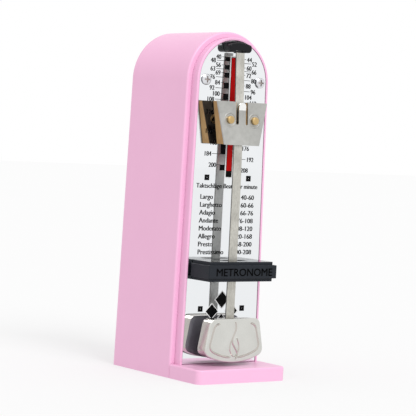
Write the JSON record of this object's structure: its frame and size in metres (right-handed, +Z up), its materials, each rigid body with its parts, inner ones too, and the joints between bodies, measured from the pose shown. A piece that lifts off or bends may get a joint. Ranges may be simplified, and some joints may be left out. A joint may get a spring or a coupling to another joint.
{
  "type": "mechanical metronome",
  "caption": "Slim arched mechanical metronome with a front pendulum, sliding tempo weight, mirrored scale plate, guard bar and wind-up movement.",
  "frame": {"origin": "on the table, on the centre line, in the plane of the case's front edge", "axes": "+X right as seen from the front, +Y from the front to the back, +Z up"},
  "size_m": [0.0652, 0.0707, 0.16],
  "materials": {
    "pink_plastic": "smooth moulded, soft gloss",
    "black_plastic": "fine matte moulding",
    "mirror_plate": "mirror-polished sheet with a printed scale",
    "nickel": "satin nickel plate",
    "steel": "machined",
    "brass": "plain rolled brass, slightly dull",
    "spring_steel": "blued strip",
    "rubber": "matte"
  },
  "bodies": {
    "case": {"rear_casing": "pink_plastic", "front_frame": "pink_plastic", "bottom_cover": "pink_plastic", "base_screw_1": "steel", "base_screw_2": "steel", "base_screw_3": "steel", "base_screw_4": "steel", "back_screw_left": "steel", "back_screw_right": "steel", "plate_screw_left": "nickel", "plate_screw_right": "nickel", "rubber_foot_1": "rubber", "rubber_foot_2": "rubber", "rubber_foot_3": "rubber", "rubber_foot_4": "rubber", "scale_plate": "mirror_plate", "pendulum_clip": "black_plastic", "guard_bar": "black_plastic", "movement_plate_left": "brass", "movement_plate_right": "brass", "pillar_1": "steel", "pillar_2": "steel", "pillar_3": "steel", "pillar_4": "steel", "upper_bridge": "brass", "lower_bridge": "brass", "upper_bridge_screw_left": "steel", "upper_bridge_screw_right": "steel", "lower_bridge_screw_left": "steel", "lower_bridge_screw_right": "steel", "rear_bridge": "brass", "staff_bush": "brass", "crown_bracket": "steel", "click_screw": "steel", "click_spring": "spring_steel"},
    "pendulum": {"pendulum_rod": "nickel", "bob_weight": "nickel", "bob_cover": "nickel", "pendulum_staff": "steel", "pendulum_hub": "brass", "hub_nut": "steel", "pallet_front": "steel", "pallet_rear": "steel"},
    "tempo_slider": {"slider_sheet": "nickel", "slider_weight": "brass", "slider_rivet_left": "brass", "slider_rivet_right": "brass"},
    "mainspring_barrel": {"barrel": "brass", "barrel_lid": "brass", "mainspring": "spring_steel"},
    "winding_arbor": {"winding_arbor": "steel", "ratchet_wheel": "steel", "winding_key": "black_plastic"},
    "second_wheel": {"second_arbor": "steel", "second_wheel": "brass"},
    "crown_wheel": {"crown_wheel": "brass", "crown_arbor": "steel"},
    "click": {"click": "steel"}
  },
  "joints": [
    {"name": "pendulum_swing", "type": "hinge", "parent": "case", "child": "pendulum", "pos_m": [0, 0, 0.05], "axis": [0, 1, 0], "range_deg": [-25, 25]},
    {"name": "tempo_slide", "type": "slide", "parent": "pendulum", "child": "tempo_slider", "axis": [0, 0, 1], "range_m": [-0.032, 0.0202]},
    {"name": "barrel_turn", "type": "hinge", "parent": "case", "child": "mainspring_barrel", "pos_m": [0, 0.025, 0.021], "axis": [1, 0, 0], "continuous": true},
    {"name": "key_wind", "type": "hinge", "parent": "case", "child": "winding_arbor", "pos_m": [0, 0.025, 0.021], "axis": [1, 0, 0], "continuous": true},
    {"name": "second_wheel_turn", "type": "hinge", "parent": "case", "child": "second_wheel", "pos_m": [0, 0.02561, 0.03849], "axis": [1, 0, 0], "continuous": true},
    {"name": "crown_wheel_turn", "type": "hinge", "parent": "case", "child": "crown_wheel", "pos_m": [0, 0.021, 0.05], "axis": [1, 0, 0], "continuous": true},
    {"name": "click_lift", "type": "hinge", "parent": "case", "child": "click", "pos_m": [0.017, 0.0345, 0.028], "axis": [1, 0, 0], "range_deg": [0, 10], "stiffness_Nm_per_rad": 0.0004, "springref_deg": -5.73}
  ],
  "couplings": [
    {"joint": "second_wheel_turn", "follows": "barrel_turn", "ratio": -6},
    {"joint": "crown_wheel_turn", "follows": "barrel_turn", "ratio": 40.5}
  ]
}
